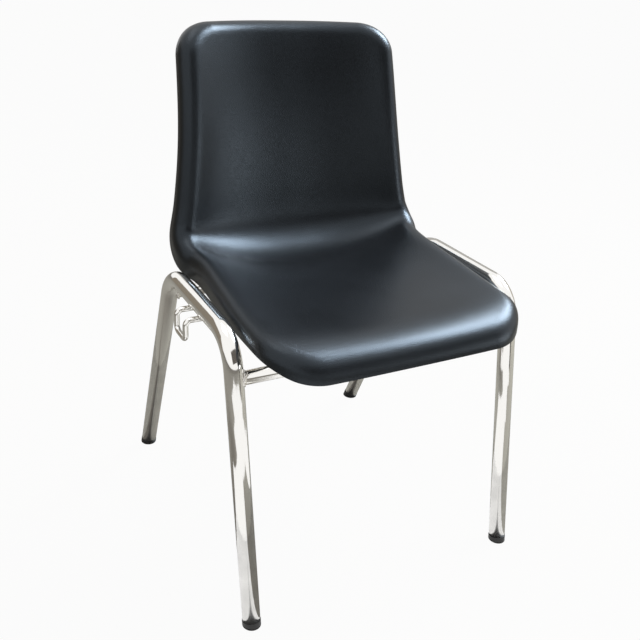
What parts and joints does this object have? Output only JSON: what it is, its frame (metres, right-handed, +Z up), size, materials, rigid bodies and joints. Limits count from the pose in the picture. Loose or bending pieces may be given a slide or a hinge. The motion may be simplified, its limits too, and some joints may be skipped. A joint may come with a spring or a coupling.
{
  "type": "choir chair",
  "caption": "Stackable choir chair: a one-piece black moulded seat-and-back shell with a rolled rim, carried between two chromed bent-tube side frames, with a ganging hook.",
  "frame": {"origin": "on the floor, midway between the two side frames and midway between the front and rear feet", "axes": "+Z up out of the floor, the sitter faces -Y, +X is the sitter's left"},
  "size_m": [0.4857, 0.5226, 0.7497],
  "materials": {
    "shell": "fine leather grain, satin",
    "chrome_tube": "bright plated",
    "zinc_hardware": "zinc plated",
    "brass_insert": "turned",
    "glide": "moulded nylon"
  },
  "bodies": {
    "root": {"seat_shell": "shell", "left_side_frame": "chrome_tube", "right_side_frame": "chrome_tube", "front_cross_tube": "chrome_tube", "rear_cross_tube": "chrome_tube", "front_left_mounting_tab": "chrome_tube", "front_right_mounting_tab": "chrome_tube", "rear_left_mounting_tab": "chrome_tube", "rear_right_mounting_tab": "chrome_tube", "seat_screws": "zinc_hardware", "seat_screw_washers": "zinc_hardware", "boss_inserts": "brass_insert", "front_left_glide": "glide", "front_right_glide": "glide", "rear_left_glide": "glide", "rear_right_glide": "glide", "ganging_hook": "chrome_tube"}
  },
  "joints": []
}
